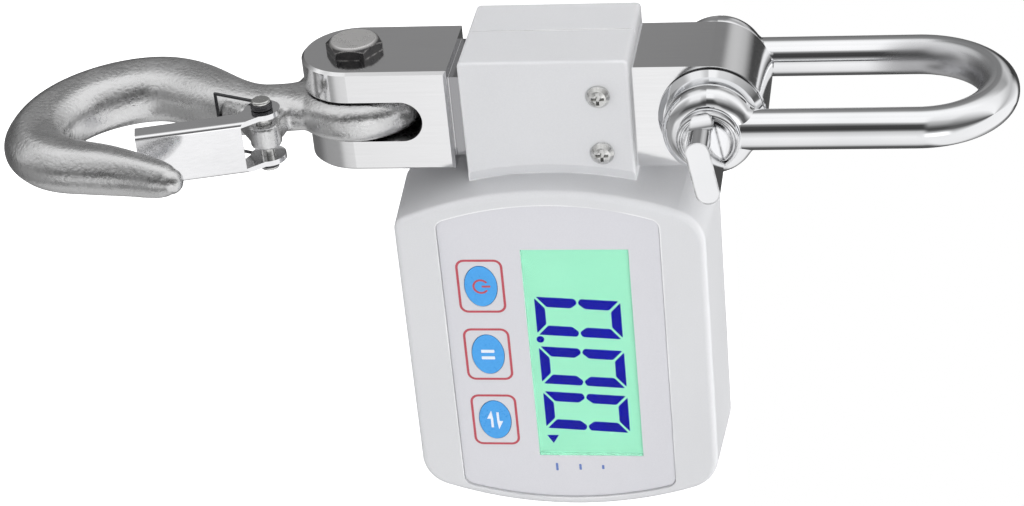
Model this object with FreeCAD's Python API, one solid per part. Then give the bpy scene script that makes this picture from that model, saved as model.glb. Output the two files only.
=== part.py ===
# Digital crane scale: shackle on top, strain-gauge bar, eye hook below,
# display case hung on the +X side of the bar. Millimetres.
# Z is up along the load line, the display faces -Y, the origin is the
# inside of the shackle's crown, where the crane hook bears.
import FreeCAD, Part
import math
import os
from FreeCAD import Vector, Rotation, Placement

os.makedirs("parts", exist_ok=True)

# fits, all radial or per side
run_fit = 0.06        # a turning part on its pin
seat_fit = 0.05       # a fixed pin or screw in its hole
slip = 0.15           # plastic parts slid into each other
case_fit = 0.1        # moulded case round the bar

# shackle
bar_d = 11.0          # round bar of the bow
inner_w = 32.4        # clear width between the legs
pin_z = -71.1         # pin axis below the crown's inside
pin_d = 12.0
ear_od = 25.4
ear_t = 9.8
ear_round = 4.4       # rounding of the ears' rims
ear_run = 4.5         # hollow run from the ear into the leg
ear_proud = 0.1       # the ears stand in front of the legs' inside
collar_d = 17.0
collar_t = 3.0
spacer_d = 28.8
spacer_bevel = 1.5
tab_w = 18.5          # thumb tab of the screw pin
tab_t = 6.5
tab_l = 17.0
tab_turn = 10.0
leg_y = (inner_w + bar_d) / 2
crown_z = bar_d / 2

# load-cell bar
bar_w = 30.0          # square of the fork block
tongue_y = 27.5       # tongue, machined narrower between the ears
neck_w = 24.0
sleeve_gap = 6.8      # from the spacers down to the sleeve round the bar
cover_run = 50.3      # from the fork block up to the sleeve's upper end
block_z = pin_z - spacer_d / 2 - sleeve_gap - cover_run
neck_l = 34.0
bolt_z = block_z - 28.0
slot_w = 12.0
slot_end = block_z - 7.9
pocket_d = 16.0       # gauge pockets, one on each side of a thin web
pocket_z = block_z + neck_l / 2
web_t = 5.0
foil_t = 0.2
bolt_d = 10.0
bolt_af = 14.0
bolt_head_h = 3.4

# hook, in its own frame: bolt axis at the origin, load line down -Z
hook_swing = -15.0    # it lies swung towards the front
eye_r = 19.0
eye_t = 11.0
eye_round = 4.2
latch_w = 15.5
latch_t = 1.5
latch_y = -21.6       # outer face of the latch's web
latch_top = -33.7
latch_end = -62.4
pivot = (-14.0, -27.5)
latch_pin_d = 4.0
lug_w = 6.8
ear_r = 5.0
head_d = 5.2
spring_wire = 0.9
coil_turns = 2        # on each side, outside the latch's cheeks
head_t = 0.8

# display case
seam_y = 2.0          # parting plane of the two shells
case_front = -28.1
case_back = 20.0
case_w = 85.9         # along Z, at the front face
case_zc = block_z + 26.35
case_top = 15.3       # crest of the bowed edge next to the bar
case_bot = 119.5
bow_top = 9.2
bow_bot = 9.0
flare = 1.7           # the sides swell towards the parting plane
wall = 2.0
front_wall = 2.6
corner_r = (4.0, 11.0, 11.0, 10.0)
gasket_t = 0.8
cover_x = 19.0
cover_yf = -17.8
cover_yr = 18.7
cover_z0 = block_z + 3.8
cover_z1 = block_z + cover_run
cover_wall = 2.5
cover_lip = 3.2       # bevelled band where the sleeve meets the case
cover_round = 1.4
recess = 1.2          # the panel lies in a shallow recess
panel_t = 0.4
panel_z0 = block_z - 4.8
panel_z1 = block_z + 57.0
boss_d = 7.0
boss_in = 9.0
boss_x = (34.0, 102.0)
screw_d = 3.0
screw_head_d = 6.4
screw_head_h = 2.2
cover_screw_x = 8.6
cover_screw_z = block_z + 41.7

# display, keys and board
lcd_x = 68.1
lcd_z = block_z + 33.0
view_l = 68.7
view_h = 30.0
glass_l = 74.0
glass_h = 34.0
glass_t = 2.8
light_t = 4.0
board_t = 1.6
board_x0 = 27.5
board_x1 = 109.5
board_z0 = block_z - 3.6
board_z1 = block_z + 58.1
key_x = (45.4, 67.9, 90.2)
key_z = block_z + 6.0
key_l = 13.0
key_h = 9.2
key_out = 0.15        # proud of the panel
key_travel = 0.5
key_rim = 1.2
switch_w = 6.0
switch_h = 3.5
plunger_d = 3.4
plunger_out = 0.9
board_screws_at = ((50.0, board_z1 - 3.5), (86.0, board_z1 - 3.5),
                   (56.6, board_z0 + 3.4), (79.1, board_z0 + 3.4))
buzzer_at = (100.0, board_z0 + 12.2)
cable_d = 3.0
cable_x0 = 6.0        # it starts inside the potting
cable_turn_x = 34.0
grommet_d = 5.0

# batteries, AA size, in a tray open to the back
cell_d = 14.2
cell_l = 49.5
nub_l = 1.0
cell_pitch = 15.2
tray_x0 = 38.0
tray_x1 = 96.0
tray_half = 23.4
plate_t = 0.5
tab_len = 4.0
door_t = 2.0
door_over = 2.0       # ledge the door lies on
door_lip = 0.8
door_travel = 10.0


def box(x0, x1, y0, y1, z0, z1):
    b = Part.makeBox(x1 - x0, y1 - y0, z1 - z0)
    b.translate(Vector(x0, y0, z0))
    return b


def cyl(r, p0, p1):
    a = Vector(*p0)
    d = Vector(*p1) - a
    return Part.makeCylinder(r, d.Length, a, d)


def poly_x(points, x0, x1):
    """Prism along X from (y, z) points."""
    pts = [Vector(x0, y, z) for y, z in points]
    face = Part.Face(Part.makePolygon(pts + pts[:1]))
    return face.extrude(Vector(x1 - x0, 0, 0))


def oval(lx, lz, x, z, y0, y1):
    """Elliptical plug along Y."""
    a, b = max(lx, lz) / 2, min(lx, lz) / 2
    e = Part.Ellipse(Vector(0, 0, 0), a, b)
    f = Part.Face(Part.Wire(e.toShape()))
    s = f.extrude(Vector(0, 0, y1 - y0))
    s.rotate(Vector(), Vector(1, 0, 0), -90)
    if lz > lx:
        s.rotate(Vector(), Vector(0, 1, 0), 90)
    s.translate(Vector(x, y0, z))
    return s


def hexagon(af, x0, x1, z):
    r = af / math.sqrt(3)
    turns = [math.radians(60 * i + 30) for i in range(6)]
    return poly_x([(r * math.cos(t), z + r * math.sin(t)) for t in turns], x0, x1)


def turned_x(profile, z):
    """Solid of revolution about an X-parallel axis; profile is (x, r)."""
    pts = [Vector(x, 0, z + r) for x, r in profile]
    f = Part.Face(Part.makePolygon(pts + pts[:1]))
    return f.revolve(Vector(0, 0, z), Vector(1, 0, 0), 360)


def edges_along(shape, axis, shortest=1.0):
    out = []
    for e in shape.Edges:
        if len(e.Vertexes) != 2 or e.Length < shortest:
            continue
        d = e.Vertexes[1].Point - e.Vertexes[0].Point
        comp = [abs(d.x), abs(d.y), abs(d.z)]
        if comp[axis] > 0.99 * e.Length:
            out.append(e)
    return out


def pan_screw(length, d=screw_d, head=screw_head_d, head_h=screw_head_h):
    """Pan-head cross screw, head top at y = -head_h, shank along +Y."""
    pts = [Vector(0, length, 0), Vector(d * 0.2, length, 0), Vector(d / 2, length - d * 0.4, 0),
           Vector(d / 2, 0, 0), Vector(head / 2, 0, 0), Vector(head / 2, -head_h * 0.45, 0),
           Vector(head * 0.36, -head_h * 0.9, 0), Vector(head * 0.2, -head_h, 0), Vector(0, -head_h, 0)]
    s = Part.Face(Part.makePolygon(pts + pts[:1])).revolve(Vector(), Vector(0, 1, 0), 360)
    slot_l, slot_w2 = head * 0.28, head * 0.07
    cross = box(-slot_l, slot_l, -head_h - 0.1, -head_h * 0.4, -slot_w2, slot_w2)
    cross = cross.fuse(box(-slot_w2, slot_w2, -head_h - 0.1, -head_h * 0.4, -slot_l, slot_l))
    return s.cut(cross)


def from_back(screw):
    """The same screw turned to enter from +Y."""
    s = screw.copy()
    s.rotate(Vector(), Vector(1, 0, 0), 180)
    return s


def at(shape, x, y, z):
    s = shape.copy()
    s.translate(Vector(x, y, z))
    return s


# shackle


def ear_in():
    return inner_w / 2 - ear_proud


def shackle_ear():
    """Round ear with a neck that runs hollow into the leg; the one at +Y."""
    y, big, half = ear_in(), ear_od / 2, bar_d / 2 - 0.8
    across, up = half + ear_run, math.sqrt((big + ear_run) ** 2 - (half + ear_run) ** 2)
    share = big / (big + ear_run)
    n = math.hypot(across * (1 - share) + ear_run, up * (1 - share))
    hollow = (across - ear_run * (across * (1 - share) + ear_run) / n, up - ear_run * up * (1 - share) / n)
    right = [Vector(x, y, pin_z + z) for x, z in
             ((across * share, up * share), hollow, (half, up), (half, up + 0.5))]
    left = [Vector(-p.x, p.y, p.z) for p in right]
    under = Vector(0, y, pin_z - big)
    outline = Part.Wire([Part.Arc(right[0], under, left[0]).toShape(),
                         Part.Arc(left[0], left[1], left[2]).toShape(),
                         Part.makeLine(left[2], left[3]), Part.makeLine(left[3], right[3]),
                         Part.makeLine(right[3], right[2]),
                         Part.Arc(right[2], right[1], right[0]).toShape()])
    ear = Part.Face(outline).extrude(Vector(0, ear_t, 0))
    rim = [e for e in ear.Edges if e.BoundBox.YLength < 0.01 and e.BoundBox.ZMin < pin_z + up + 0.4]
    return ear.makeFillet(ear_round, rim)


def shackle_bow():
    r = bar_d / 2
    zc = crown_z - leg_y
    ring = Part.makeTorus(leg_y, r, Vector(0, 0, zc), Vector(1, 0, 0))
    body = ring.common(box(-r - 1, r + 1, -leg_y - r - 1, leg_y + r + 1, zc, zc + leg_y + r + 1))
    for s in (1, -1):
        foot = pin_z + ear_od / 2
        body = body.fuse(cyl(r, (0, s * leg_y, foot - 4), (0, s * leg_y, zc)))
        body = body.fuse(Part.makeSphere(r, Vector(0, s * leg_y, foot - 4)))
        ear = shackle_ear()
        body = body.fuse(ear if s > 0 else ear.mirror(Vector(), Vector(0, 1, 0)))
        face = s * (ear_in() + ear_t)
        body = body.cut(cyl(collar_d / 2 + 0.4, (0, face, pin_z), (0, 2 * face, pin_z)))
    bore = cyl(pin_d / 2 + seat_fit, (0, -leg_y * 2, pin_z), (0, leg_y * 2, pin_z))
    return body.cut(bore)


def shackle_pin():
    y0 = -(ear_in() + ear_t)
    shank = cyl(pin_d / 2, (0, y0, pin_z), (0, -y0 + 1.5, pin_z))
    far_rim = [e for e in shank.Edges if len(e.Vertexes) == 1 and e.BoundBox.YMin > 0]
    shank = shank.makeChamfer(0.8, far_rim)
    collar = cyl(collar_d / 2, (0, y0 - collar_t, pin_z), (0, y0, pin_z))
    collar = collar.makeFillet(0.8, [e for e in collar.Edges if len(e.Vertexes) == 1])
    groove = Part.makeTorus(collar_d * 0.42, 0.5, Vector(0, y0 - collar_t, pin_z), Vector(0, 1, 0))
    collar = collar.cut(groove)
    step = cyl(collar_d * 0.37, (0, y0 - collar_t - 1.2, pin_z), (0, y0 - collar_t, pin_z))
    tab = box(-tab_w / 2, tab_w / 2, y0 - collar_t - tab_l, y0 - collar_t, -tab_t / 2, tab_t / 2)
    tab = tab.makeFillet(tab_t * 0.49, [e for e in edges_along(tab, 1)])
    x, y = tab_w / 2 + 3.4, y0 - collar_t - 4.6
    waist = cyl(6.0, (x, y, -9), (x, y, 9))
    tab = tab.cut(waist).cut(waist.mirror(Vector(), Vector(1, 0, 0)))
    tab.rotate(Vector(), Vector(0, 1, 0), -tab_turn)
    tab.translate(Vector(0, 0, pin_z))
    return shank.fuse(collar).fuse(step).fuse(tab)


def shackle_washers():
    """Spacers between the ears and the tongue."""
    out = []
    t = ear_in() - tongue_y / 2 - 2 * slip
    for s in (1, -1):
        y0 = s * ear_in()
        w = cyl(spacer_d / 2, (0, y0, pin_z), (0, y0 - s * t, pin_z))
        rim = [e for e in w.Edges if len(e.Vertexes) == 1 and abs(e.BoundBox.YMin - y0) < 0.01]
        w = w.makeChamfer(spacer_bevel, rim)
        out.append(w.cut(cyl(pin_d / 2 + seat_fit, (0, -40, pin_z), (0, 40, pin_z))))
    return Part.Compound(out)


# load-cell bar


def load_cell():
    h = bar_w / 2
    block = box(-h, h, -h, h, bolt_z, block_z).fuse(cyl(h, (-h, 0, bolt_z), (h, 0, bolt_z)))
    block = block.removeSplitter()
    block = block.makeChamfer(0.8, [e for e in edges_along(block, 2) + edges_along(block, 0)])
    n = neck_w / 2
    neck = box(-n, n, -n, n, block_z, block_z + neck_l)
    t = tongue_y / 2
    tongue = box(-h, h, -t, t, block_z + neck_l, pin_z).fuse(cyl(h, (0, -t, pin_z), (0, t, pin_z)))
    body = block.fuse(neck).fuse(tongue).removeSplitter()
    s = slot_w / 2
    slot = box(-s, s, -h - 1, h + 1, bolt_z - h - 1, slot_end - s)
    slot = slot.fuse(cyl(s, (0, -h - 1, slot_end - s), (0, h + 1, slot_end - s)))
    body = body.cut(slot)
    body = body.cut(cyl(bolt_d / 2 + seat_fit, (-h - 1, 0, bolt_z), (h + 1, 0, bolt_z)))
    body = body.cut(cyl(pin_d / 2 + run_fit, (0, -h, pin_z), (0, h, pin_z)))
    for d in (1, -1):
        body = body.cut(cyl(pocket_d / 2, (d * web_t / 2, 0, pocket_z), (d * (n + 1), 0, pocket_z)))
        for x in (-cover_screw_x, cover_screw_x):
            start, end = (x, d * (t - 9), cover_screw_z), (x, d * (t + 1), cover_screw_z)
            body = body.cut(cyl(screw_d / 2 + seat_fit, start, end))
    return body


def gauge_foils():
    g = 3.6
    out = []
    for d in (1, -1):
        x = sorted((d * web_t / 2, d * (web_t / 2 + foil_t)))
        out.append(box(x[0], x[1], -g, g, pocket_z - g, pocket_z + g))
    return Part.Compound(out)


def gauge_potting():
    """Sealing compound that fills both gauge pockets."""
    out = []
    for d in (1, -1):
        floor, top = d * (web_t / 2 + foil_t), d * (neck_w / 2 - 0.3)
        plug = cyl(pocket_d / 2 - 0.02, (floor, 0, pocket_z), (top, 0, pocket_z))
        if d > 0:
            bore = cyl(cable_d / 2 + 0.02, (cable_x0, seam_y, pocket_z), (20.0, seam_y, pocket_z))
            plug = plug.cut(bore)
        out.append(plug)
    return Part.Compound(out)


def load_cell_cable():
    """Two straight runs and the tangent bend between them."""
    y_end = board_back() + 5.0
    run1 = cable_turn_x - cable_x0
    run2 = seam_y - y_end
    r = 0.45 * min(run1, run2)
    h = r * math.sqrt(0.5)
    a = Vector(cable_x0, seam_y, pocket_z)
    b = Vector(cable_turn_x - r, seam_y, pocket_z)
    mid = Vector(cable_turn_x - r + h, seam_y - r + h, pocket_z)
    c = Vector(cable_turn_x, seam_y - r, pocket_z)
    d = Vector(cable_turn_x, y_end, pocket_z)
    path = Part.Wire([Part.makeLine(a, b), Part.Arc(b, mid, c).toShape(), Part.makeLine(c, d)])
    ring = Part.Wire(Part.makeCircle(cable_d / 2, a, Vector(1, 0, 0)))
    return path.makePipeShell([ring], True, False)


def cable_grommet():
    x0 = case_top
    flange_r = grommet_d / 2 + 1.1
    reach = case_zc - pocket_z + flange_r
    x1 = x0 + wall + bow_top * (reach / (case_w / 2 - wall)) ** 2 + 0.1
    g = cyl(grommet_d / 2, (x0, seam_y, pocket_z), (x1, seam_y, pocket_z))
    g = g.fuse(cyl(flange_r, (x1, seam_y, pocket_z), (x1 + 1.0, seam_y, pocket_z)))
    return g.cut(cyl(cable_d / 2 + 0.02, (x0 - 1, seam_y, pocket_z), (x0 + 9, seam_y, pocket_z)))


def clevis_bolt():
    """Screwed into the far prong, its end just short of the bar's face."""
    h = bar_w / 2
    end = h - 0.3
    head = hexagon(bolt_af, -h - bolt_head_h, -h, bolt_z)
    round_top = turned_x([(-h, 0), (-h, bolt_af * 0.59), (-h - bolt_head_h + 1.4, bolt_af * 0.59),
                          (-h - bolt_head_h, bolt_af * 0.44), (-h - bolt_head_h, 0)], bolt_z)
    shank = turned_x([(-h, 0), (-h, bolt_d / 2), (end - 1.0, bolt_d / 2),
                      (end, bolt_d / 2 - 1.0), (end, 0)], bolt_z)
    return head.common(round_top).fuse(shank)


# hook and latch, built about the bolt and then swung into place


def swung(shape):
    s = shape.copy()
    s.rotate(Vector(), Vector(1, 0, 0), hook_swing)
    s.translate(Vector(0, 0, bolt_z))
    return s


def section(y, z, dy, dz, in_plane, across):
    """Closed section across a centre line in the YZ plane: round inside, bevelled outside."""
    n = math.hypot(dy, dz)
    side = Vector(0, -dz / n, dy / n)
    half = [(1.0, 0.24), (0.80, 0.62), (0.46, 0.96), (-0.10, 1.0), (-0.60, 0.86), (-0.91, 0.48)]
    ring = [(1.03, 0.0)] + half + [(-1.0, 0.0)] + [(u, -v) for u, v in reversed(half)]
    pts = [Vector(0, y, z) + side * (in_plane * u) + Vector(across * v, 0, 0) for u, v in ring]
    b = Part.BSplineCurve()
    b.interpolate(Points=pts, PeriodicFlag=True)
    return Part.Wire(b.toShape())


# centre line of the forging: y, z, half depth in plane, half width across
hook_line = [(0, -9, 10.5, eye_t / 2 - 0.3), (0, -15.5, 10.4, eye_t / 2 - 0.1), (0, -19.5, 8.7, 5.7),
             (0.3, -24, 7.5, 6.2), (1.8, -30.5, 7.7, 6.8), (8, -38.5, 8.9, 7.8), (16.8, -46.7, 10, 8.3),
             (22.5, -56.7, 10.1, 8.5), (22.4, -68, 10, 8.5), (17.4, -79.2, 9.6, 8.4),
             (8, -87.5, 9.3, 8.2), (-2, -90.6, 9.0, 7.8), (-11.3, -88.3, 8.6, 7.4),
             (-17.8, -81.6, 7.9, 7.0), (-22.1, -73.3, 6.9, 6.7), (-27.1, -64.8, 5.5, 6.1),
             (-31.8, -58, 4.6, 5.3), (-34.4, -54.2, 3.7, 4.1)]


def hook():
    wires = []
    for i, (y, z, b, a) in enumerate(hook_line):
        p, q = hook_line[max(i - 1, 0)], hook_line[min(i + 1, len(hook_line) - 1)]
        wires.append(section(y, z, q[0] - p[0], q[1] - p[1], b, a))
    body = Part.makeLoft(wires, True, False)
    tip = hook_line[-1]
    body = body.fuse(Part.makeSphere(tip[2], Vector(0, tip[0] - 0.2, tip[1] + 0.2)))
    eye = cyl(eye_r, (-eye_t / 2, 0, 0), (eye_t / 2, 0, 0))
    eye = eye.makeFillet(eye_round, [e for e in eye.Edges if len(e.Vertexes) == 1])
    h = lug_w / 2
    y, z = pivot
    lug = poly_x([(-3, -19), (y + 1.5, z + 4.3), (y + 1.5, z - 4.3), (0, -36)], -h, h)
    lug = lug.fuse(cyl(4.4, (-h, y, z), (h, y, z)))
    body = body.fuse(eye).fuse(lug)
    body = body.cut(cyl(bolt_d / 2 + run_fit, (-20, 0, 0), (20, 0, 0)))
    body = body.cut(cyl(latch_pin_d / 2 + seat_fit, (-20, y, z), (20, y, z)))
    return swung(body)


def latch():
    w, t = latch_w / 2, latch_t
    y, z = pivot
    web = box(-w, w, latch_y, latch_y + t, latch_end, latch_top)
    body = web
    for s in (1, -1):
        x0, x1 = sorted((s * w, s * (w - t)))
        cheek = poly_x([(latch_y, latch_end), (latch_y + 5.6, latch_end), (latch_y + 6.0, z - 6.5),
                        (y + ear_r * 0.94, z - 1.7), (y - 2.0, z + 4.55), (latch_y, latch_top)], x0, x1)
        cheek = cheek.fuse(cyl(ear_r, (x0, y, z), (x1, y, z)))
        body = body.fuse(cheek)
    body = body.removeSplitter()
    fold = [e for e in edges_along(body, 2, 10)
            if abs(e.BoundBox.YMin - latch_y) < 0.01 and abs(abs(e.BoundBox.XMin) - w) < 0.01]
    body = body.makeFillet(1.2, fold)
    body = body.cut(cyl(latch_pin_d / 2 + run_fit, (-20, y, z), (20, y, z)))
    return swung(body)


def coil_x(turn):
    """Middle of a coil's turn, counted outwards from the latch's cheek."""
    return latch_w / 2 + slip + spring_wire / 2 + turn * 0.85 * spring_wire


def latch_pin():
    y, z = pivot
    x = coil_x(coil_turns - 1) + spring_wire / 2 + slip
    pin = cyl(latch_pin_d / 2, (-x, y, z), (x, y, z))
    for s in (1, -1):
        head = cyl(head_d / 2, (s * x, y, z), (s * (x + head_t), y, z))
        rim = [e for e in head.Edges
               if len(e.Vertexes) == 1 and abs(abs(e.BoundBox.XMin) - x - head_t) < 0.01]
        pin = pin.fuse(head.makeFillet(0.5, rim))
    return swung(pin)


def latch_spring():
    """Coils on the latch pin, their arms joined by a bridge that bears on the hook's shank."""
    y, z = pivot
    w = spring_wire / 2
    r = latch_pin_d / 2 + w + 0.1
    x_arm = coil_x(0)
    rest_y, rest_z = y + 11.55, z - 12.5
    body = cyl(w, (-x_arm, rest_y, rest_z), (x_arm, rest_y, rest_z))
    for s in (1, -1):
        for i in range(coil_turns):
            body = body.fuse(Part.makeTorus(r, w, Vector(s * coil_x(i), y, z), Vector(1, 0, 0)))
        body = body.fuse(cyl(w, (s * x_arm, y + r - 0.1, z - 0.2), (s * x_arm, rest_y, rest_z)))
        body = body.fuse(Part.makeSphere(w, Vector(s * x_arm, rest_y, rest_z)))
    return swung(body)


# display case


def board_front():
    return case_front + front_wall + glass_t + light_t


def board_back():
    return board_front() + board_t


def case_wire(y, grow, inset):
    """Bowed outline in the plane y; grow widens it, inset shrinks it."""
    z0 = case_zc - case_w / 2 - grow + inset
    z1 = case_zc + case_w / 2 + grow - inset
    t_mid, t_end = case_top + inset, case_top + bow_top + inset
    b_mid, b_end = case_bot + grow - inset, case_bot - bow_bot + grow - inset
    p = [Vector(t_end, y, z0), Vector(t_mid, y, case_zc), Vector(t_end, y, z1),
         Vector(b_end, y, z1), Vector(b_mid, y, case_zc), Vector(b_end, y, z0)]
    return Part.Wire([Part.Arc(p[0], p[1], p[2]).toShape(), Part.makeLine(p[2], p[3]),
                      Part.Arc(p[3], p[4], p[5]).toShape(), Part.makeLine(p[5], p[0])])


def case_block(y0, grow0, y1, grow1, inset=0.0):
    s = Part.makeLoft([case_wire(y0, grow0, inset), case_wire(y1, grow1, inset)], True, True)
    picks = []
    for e in s.Edges:
        a, b = e.Vertexes[0].Point, e.Vertexes[-1].Point
        if abs(a.y - b.y) > abs(y1 - y0) * 0.9:
            near_bar = a.x < (case_top + case_bot) / 2
            upper = a.z > case_zc
            i = (1 if upper else 0) if near_bar else (2 if upper else 3)
            picks.append((e, max(corner_r[i] - inset, 1.0)))
    for r in sorted({r for _, r in picks}):
        points = [(e.Vertexes[0].Point + e.Vertexes[-1].Point) * 0.5 for e, q in picks if q == r]
        chosen = [e for e in s.Edges for m in points
                  if ((e.Vertexes[0].Point + e.Vertexes[-1].Point) * 0.5 - m).Length < 0.5
                  and abs(e.Vertexes[0].Point.y - e.Vertexes[-1].Point.y) > abs(y1 - y0) * 0.9]
        s = s.makeFillet(r, chosen)
    return s


def rim_edges(s, y):
    return [e for e in s.Edges if e.BoundBox.YLength < 0.01 and abs(e.BoundBox.YMin - y) < 0.01]


def panel_shape(y0, y1, gap):
    z0, z1 = panel_z0 + gap, panel_z1 - gap
    zm = (z0 + z1) / 2
    t_end, t_mid = case_top + 9.3 + gap, case_top + 4.1 + gap
    b_end, b_mid = case_bot - 7.3 - gap, case_bot - 2.6 - gap
    p = [Vector(t_end, y0, z0), Vector(t_mid, y0, zm), Vector(t_end, y0, z1),
         Vector(b_end, y0, z1), Vector(b_mid, y0, zm), Vector(b_end, y0, z0)]
    w = Part.Wire([Part.Arc(p[0], p[1], p[2]).toShape(), Part.makeLine(p[2], p[3]),
                   Part.Arc(p[3], p[4], p[5]).toShape(), Part.makeLine(p[5], p[0])])
    s = Part.Face(w).extrude(Vector(0, y1 - y0, 0))
    return s.makeFillet(3.0, edges_along(s, 1, 0.1))


def boss_spots():
    z0, z1 = case_zc - case_w / 2 + boss_in, case_zc + case_w / 2 - boss_in
    return [(x, z) for x in boss_x for z in (z0, z1)]


def cover_half(y0, y1, sink):
    """Sleeve half round the bar, its lower end following the case's bow."""
    s = box(-cover_x, case_top + bow_top + sink, y0, y1, cover_z0, cover_z1)
    z0, z1 = case_zc - case_w / 2, case_zc + case_w / 2
    a, mid, b = [Vector(x, y0 - 1, z) for x, z in
                 ((case_top + bow_top + sink, z0), (case_top + sink, case_zc),
                  (case_top + bow_top + sink, z1))]
    c, d = Vector(60, y0 - 1, z1), Vector(60, y0 - 1, z0)
    below = Part.Face(Part.Wire([Part.Arc(a, mid, b).toShape(), Part.makeLine(b, c),
                                 Part.makeLine(c, d), Part.makeLine(d, a)]))
    return s.cut(below.extrude(Vector(0, y1 - y0 + 2, 0)))


def bar_room():
    """What both shells leave free for the bar."""
    n, h, t = neck_w / 2 + case_fit, bar_w / 2 + case_fit, tongue_y / 2 + case_fit
    room = box(-n, n, -n, n, cover_z0 - 1, cover_z0 + cover_wall + 1)
    room = room.fuse(box(-cover_x + cover_wall, h, cover_yf + cover_wall, cover_yr - cover_wall,
                         cover_z0 + cover_wall, block_z + neck_l))
    return room.fuse(box(-h, h, -t, t, block_z + neck_l, cover_z1 + 1))


def front_shell():
    y1 = seam_y - gasket_t / 2
    outer = case_block(case_front, 0.0, y1, flare)
    outer = outer.makeFillet(1.8, rim_edges(outer, case_front))
    inner = case_block(case_front + front_wall, 0.0, y1 + 1, flare, wall)
    body = outer.cut(inner)
    floor = case_front + front_wall
    for x, z in boss_spots():
        body = body.fuse(cyl(boss_d / 2, (x, floor - 0.4, z), (x, y1, z)).common(outer))
    for x, z in board_screws_at:
        body = body.fuse(cyl(2.6, (x, floor - 0.4, z), (x, board_front(), z)))
    sleeve = cover_half(cover_yf, seam_y - slip, 0.0)
    arch = [e for e in rim_edges(sleeve, cover_yf) if e.BoundBox.XMin > 10]
    sleeve = sleeve.makeChamfer(cover_lip, 1.1, arch)
    corners = [e for e in edges_along(sleeve, 1) if e.BoundBox.XMax < 0]
    sleeve = sleeve.makeFillet(cover_round, corners)
    front = [e for e in rim_edges(sleeve, cover_yf) if e.BoundBox.XMin < 0]
    sleeve = sleeve.makeFillet(0.8, front)
    body = body.fuse(sleeve)
    body = body.fuse(box(case_top - 1, case_top + wall, -14.0, seam_y, cover_z0 + 3, cover_z1 - 3))
    body = body.cut(bar_room())
    body = body.cut(panel_shape(case_front - 1, case_front + recess, 0.0))
    body = body.cut(lcd_plate(view_l + 2 * slip, view_h + 2 * slip, case_front, floor + 0.1))
    for x in key_x:
        body = body.cut(oval(key_l + 4 * slip, key_h + 4 * slip, x, key_z, case_front, floor + 0.1))
    for x, z in boss_spots():
        body = body.cut(cyl(screw_d / 2 + seat_fit, (x, y1 - 12, z), (x, y1 + 1, z)))
    for x, z in board_screws_at:
        body = body.cut(cyl(1.25 + seat_fit, (x, board_front() - 6, z), (x, board_front() + 1, z)))
    for x in (-cover_screw_x, cover_screw_x):
        start, end = (x, cover_yf - 1, cover_screw_z), (x, -tongue_y / 2 + 1, cover_screw_z)
        body = body.cut(cyl(screw_d / 2 + slip, start, end))
    start, end = (case_top - 6, seam_y, pocket_z), (case_top + 9, seam_y, pocket_z)
    return body.cut(cyl(grommet_d / 2 + slip, start, end))


def tray_box(grow, y0, y1):
    h = tray_half + grow
    return box(tray_x0 - grow, tray_x1 + grow, y0, y1, case_zc - h, case_zc + h)


def tray_floor():
    return case_back - door_t - slip - cell_d - 0.1


def door_room(extra):
    """Recess for the door, its side grooves and the run it slides in."""
    y0 = case_back - door_t - (slip if extra else 0)
    g = slip if extra else 0.0
    x0, x1 = tray_x0 - door_over - g, tray_x1 + door_over + g
    zh = tray_half + door_over + g
    run = door_travel if extra else 0.0
    plate = box(x0, x1 + run, y0, case_back + (1 if extra else 0), case_zc - zh, case_zc + zh)
    lip = box(x0, x1 + run, y0, y0 + 0.9 + 2 * g, case_zc - zh - door_lip, case_zc + zh + door_lip)
    return plate.fuse(lip)


def rear_shell():
    y0 = seam_y + gasket_t / 2
    outer = case_block(y0, flare, case_back, -0.6)
    outer = outer.makeFillet(2.5, rim_edges(outer, case_back))
    inner = case_block(y0 - 1, flare, case_back - wall, -0.6, wall)
    body = outer.cut(inner)
    pad = box(tray_x0 - 5, tray_x1 + 14, case_back - 4.4, case_back - wall + 0.2,
              case_zc - tray_half - 5, case_zc + tray_half + 5)
    body = body.fuse(pad.common(outer))
    body = body.fuse(tray_box(1.6, tray_floor() - 1.6, case_back - wall))
    for x, z in boss_spots():
        body = body.fuse(cyl(boss_d / 2 + 0.6, (x, y0, z), (x, case_back - 1, z)).common(outer))
    sleeve = cover_half(seam_y + slip, cover_yr, 0.8)
    corners = [e for e in edges_along(sleeve, 1) if e.BoundBox.XMax < 0]
    body = body.fuse(sleeve.makeFillet(cover_round, corners))
    body = body.fuse(box(case_top - 1, case_top + wall, seam_y, 14.0, cover_z0 + 3, cover_z1 - 3))
    body = body.cut(bar_room())
    body = body.cut(tray_box(0.0, tray_floor(), case_back + 1))
    body = body.cut(door_room(True))
    for x, z in boss_spots():
        body = body.cut(cyl(screw_d / 2 + slip, (x, y0 - 1, z), (x, case_back + 1, z)))
        body = body.cut(cyl(screw_head_d / 2 + slip, (x, y0 + 5.0, z), (x, case_back + 1, z)))
    for x in (-cover_screw_x, cover_screw_x):
        start, end = (x, tongue_y / 2 - 1, cover_screw_z), (x, cover_yr + 1, cover_screw_z)
        body = body.cut(cyl(screw_d / 2 + slip, start, end))
    for x, z in tab_spots():
        body = body.cut(box(x - 0.4, x + 0.4, tray_floor() - 2, tray_floor() + 1, z - 1.8, z + 1.8))
    start, end = (case_top - 6, seam_y, pocket_z), (case_top + 9, seam_y, pocket_z)
    return body.cut(cyl(grommet_d / 2 + slip, start, end))


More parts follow.
